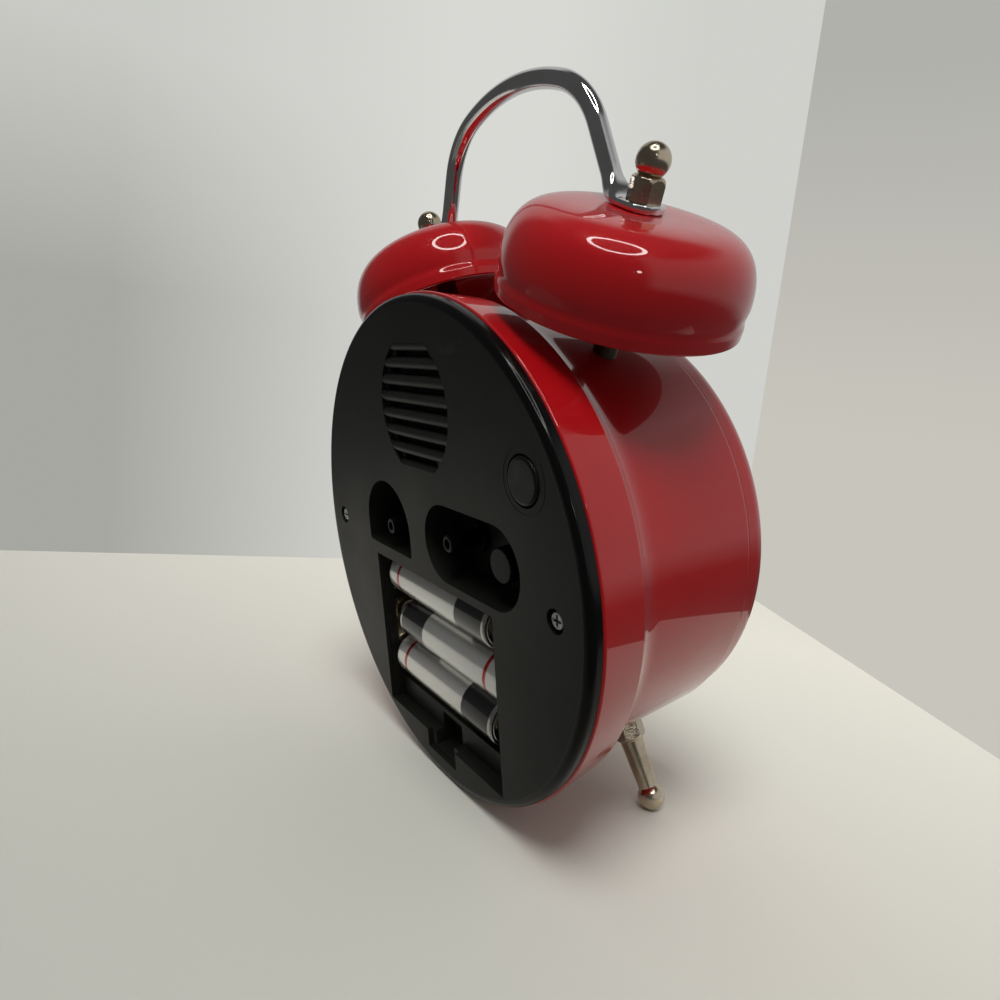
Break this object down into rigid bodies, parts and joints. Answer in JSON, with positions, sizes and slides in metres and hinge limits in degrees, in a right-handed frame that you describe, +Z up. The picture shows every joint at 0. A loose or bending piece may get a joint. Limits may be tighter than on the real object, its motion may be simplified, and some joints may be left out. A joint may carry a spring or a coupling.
{
  "type": "twin-bell alarm clock",
  "caption": "Round desk alarm clock with domed bells, a wire carrying handle, ball feet and a leaning case; rear knobs, a push button, a speaker grille and an open battery bay.",
  "frame": {"origin": "middle of the clock's bounding box, on the table it stands on", "axes": "+Z up, the dial faces -Y and leans back, +X to the right as seen from the dial"},
  "size_m": [0.1088, 0.0718, 0.1519],
  "materials": {
    "red_paint": "deep glossy enamel",
    "black_plastic": "fine matt moulding",
    "nickel": "warm nickel plating",
    "chrome": "bright plated wire",
    "clear_lens": "clear and polished",
    "dial_card": "matt cream print",
    "cell_jacket": "shrink sleeve over a metal can",
    "speaker_steel": "pressed steel",
    "magnet": "sintered magnet",
    "circuit_board": "varnished laminate",
    "capacitor_can": "sleeved can",
    "brass": "turned and cut",
    "movement_plastic": "pale moulding",
    "hand_black": "black lacquer",
    "hand_red": "red lacquer"
  },
  "bodies": {
    "clock": {"case_shell": "red_paint", "front_bezel": "red_paint", "lens": "clear_lens", "dial": "dial_card", "dial_ring": "dial_card", "dial_retainer": "black_plastic", "back_plate": "black_plastic", "back_screws": "nickel", "left_bell": "red_paint", "right_bell": "red_paint", "left_bell_post": "nickel", "right_bell_post": "nickel", "bell_nuts": "nickel", "left_finial": "nickel", "right_finial": "nickel", "handle": "chrome", "left_foot": "nickel", "right_foot": "nickel", "foot_nuts": "nickel", "top_cell": "cell_jacket", "middle_cell": "cell_jacket", "bottom_cell": "cell_jacket", "contact_plates": "nickel", "contact_springs": "nickel", "speaker_frame": "speaker_steel", "speaker_cone": "black_plastic", "speaker_magnet": "magnet", "sound_board": "circuit_board", "sound_chip": "black_plastic", "board_capacitor": "capacitor_can", "board_screws": "nickel", "button_switch": "black_plastic", "volume_control": "black_plastic", "movement_back": "movement_plastic", "movement_front": "movement_plastic", "stator": "speaker_steel", "stepper_coil": "brass", "quartz_board": "circuit_board", "dial_nut": "brass"},
    "time_setting": {"time_knob": "black_plastic", "time_shaft": "brass"},
    "minute_train": {"minute_wheel": "brass", "minute_hand": "hand_black"},
    "motion_train": {"motion_wheel": "brass"},
    "hour_train": {"hour_wheel": "brass", "hour_hand": "hand_black"},
    "alarm_setting": {"alarm_knob": "black_plastic", "alarm_shaft": "brass"},
    "alarm_train": {"alarm_wheel": "brass", "alarm_hand": "hand_red"},
    "second_train": {"second_wheel": "brass", "second_hand": "hand_red"},
    "step_train": {"step_wheel": "movement_plastic"},
    "rotor_train": {"rotor": "speaker_steel"},
    "volume_setting": {"volume_knob": "black_plastic"},
    "button": {"sound_button": "black_plastic"}
  },
  "joints": [
    {"name": "time_knob_turn", "type": "hinge", "parent": "clock", "child": "time_setting", "pos_m": [-0.0092, -0.00286, 0.06299], "axis": [0, -0.981, 0.1938], "continuous": true},
    {"name": "minute_turn", "type": "hinge", "parent": "clock", "child": "minute_train", "pos_m": [0, -0.00374, 0.05857], "axis": [0, -0.981, 0.1938], "continuous": true},
    {"name": "motion_turn", "type": "hinge", "parent": "clock", "child": "motion_train", "pos_m": [0, -0.00568, 0.04876], "axis": [0, -0.981, 0.1938], "continuous": true},
    {"name": "hour_turn", "type": "hinge", "parent": "clock", "child": "hour_train", "pos_m": [0, -0.00374, 0.05857], "axis": [0, -0.981, 0.1938], "continuous": true},
    {"name": "alarm_knob_turn", "type": "hinge", "parent": "clock", "child": "alarm_setting", "pos_m": [0.0176, -0.00323, 0.06112], "axis": [0, -0.981, 0.1938], "continuous": true},
    {"name": "alarm_turn", "type": "hinge", "parent": "clock", "child": "alarm_train", "pos_m": [0, -0.00374, 0.05857], "axis": [0, -0.981, 0.1938], "continuous": true},
    {"name": "rotor_turn", "type": "hinge", "parent": "clock", "child": "rotor_train", "pos_m": [0.00954, -0.00181, 0.0683], "axis": [0, -0.981, 0.1938], "continuous": true},
    {"name": "step_turn", "type": "hinge", "parent": "clock", "child": "step_train", "pos_m": [0.00338, -0.0025, 0.06481], "axis": [0, -0.981, 0.1938], "continuous": true},
    {"name": "second_turn", "type": "hinge", "parent": "clock", "child": "second_train", "pos_m": [0, -0.00374, 0.05857], "axis": [0, -0.981, 0.1938], "continuous": true},
    {"name": "volume_turn", "type": "hinge", "parent": "clock", "child": "volume_setting", "pos_m": [-0.0274, -0.00286, 0.06299], "axis": [0, -0.981, 0.1938], "range_deg": [-135, 135]},
    {"name": "button_press", "type": "slide", "parent": "clock", "child": "button", "axis": [0, -0.981, 0.1938], "range_m": [0, 0.0012], "stiffness_N_per_m": 900, "springref_m": -0.0006}
  ],
  "couplings": [
    {"joint": "minute_turn", "follows": "time_knob_turn", "ratio": -0.5},
    {"joint": "motion_turn", "follows": "time_knob_turn", "ratio": 0.16667},
    {"joint": "hour_turn", "follows": "time_knob_turn", "ratio": -0.041667},
    {"joint": "alarm_turn", "follows": "alarm_knob_turn", "ratio": -0.4},
    {"joint": "step_turn", "follows": "rotor_turn", "ratio": -0.16667},
    {"joint": "second_turn", "follows": "rotor_turn", "ratio": 0.033333}
  ]
}
